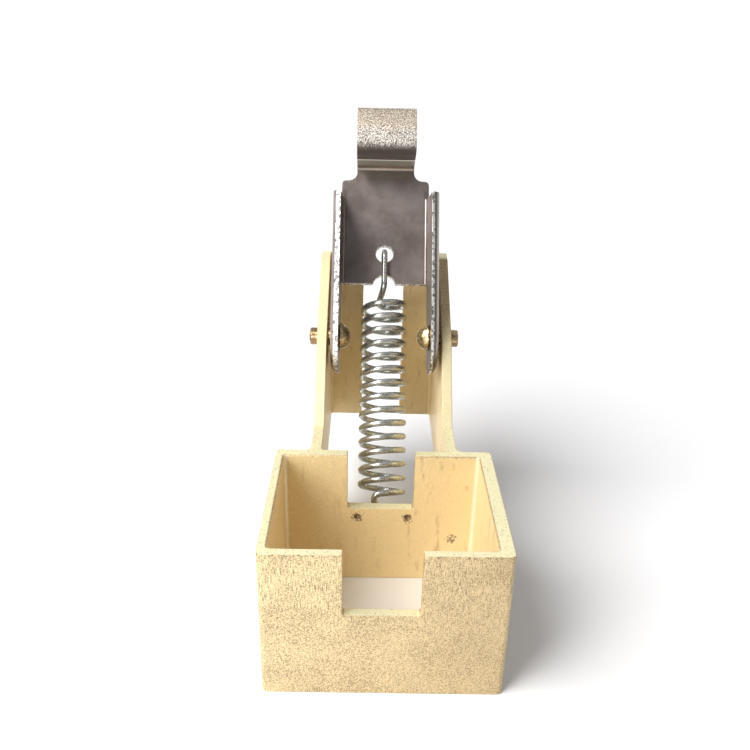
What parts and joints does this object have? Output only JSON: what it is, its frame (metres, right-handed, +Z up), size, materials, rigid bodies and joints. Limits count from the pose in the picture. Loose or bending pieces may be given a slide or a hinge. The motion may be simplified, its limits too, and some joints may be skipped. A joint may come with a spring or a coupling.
{
  "type": "carbon brush holder",
  "caption": "Brass box channel for a carbon brush, with rear arms, a hinged sheet-metal pressure lever and a tension spring; shown open and empty.",
  "frame": {"origin": "on the brush channel's middle line, at the bottom face of the box, where the brush comes out", "axes": "+Z up through the channel, +Y back along the arms, X along the lever's pivot"},
  "size_m": [0.0358, 0.0752, 0.0745],
  "materials": {
    "brass_body": "blasted, pale yellow brass with milled edges",
    "lever_steel": "dull nickel plate on pressed sheet, sheared edges bright",
    "rivet_brass": "plain drawn brass",
    "pin_steel": "plain drawn steel",
    "spring_wire": "zinc-plated spring wire"
  },
  "bodies": {
    "holder": {"holder_body": "brass_body", "rivet_left": "rivet_brass", "rivet_right": "rivet_brass", "anchor_pin": "pin_steel"},
    "lever": {"lever": "lever_steel"},
    "spring": {"spring": "spring_wire"}
  },
  "joints": [
    {"name": "lever_pivot", "type": "hinge", "parent": "holder", "child": "lever", "pos_m": [0.0004, 0.0358, 0.0367], "axis": [1, 0, 0], "range_deg": [0, 133]},
    {"name": "spring_swing", "type": "hinge", "parent": "holder", "child": "spring", "pos_m": [0.0004, 0.0194, 0.006], "axis": [1, 0, 0], "range_deg": [0, 40.15], "deforming": ["spring"]}
  ],
  "couplings": [
    {"joint": "spring_swing", "follows": "lever_pivot", "ratio": 0.30188}
  ]
}
